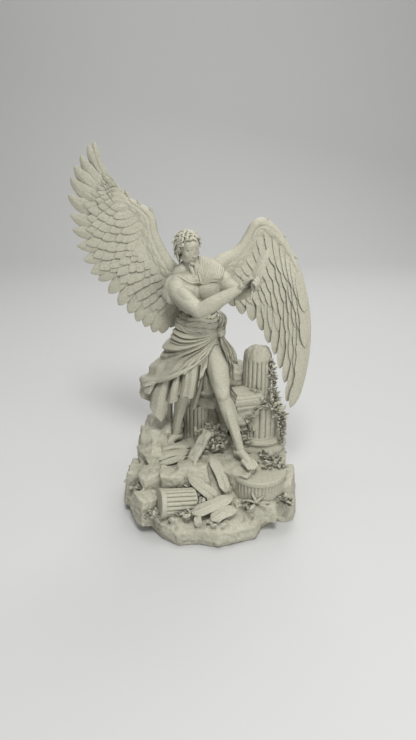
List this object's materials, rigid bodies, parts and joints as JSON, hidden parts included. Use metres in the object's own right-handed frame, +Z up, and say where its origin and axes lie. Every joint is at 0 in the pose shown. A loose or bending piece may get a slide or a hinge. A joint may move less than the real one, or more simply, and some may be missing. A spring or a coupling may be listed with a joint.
{
  "type": "winged figure statuette",
  "caption": "Printed statuette of a winged youth in a tied skirt, holding a feather, on a rocky plinth with broken fluted columns and fallen feathers.",
  "frame": {"origin": "middle of the plinth's flat underside", "axes": "+Z up, -Y towards the viewer the figure's chest faces, +X to that viewer's right"},
  "size_m": [0.1836, 0.1428, 0.2817],
  "materials": {
    "printed_plastic": "matte, printed in fine layers"
  },
  "bodies": {
    "root": {"icarus_statue": "printed_plastic"}
  },
  "joints": []
}
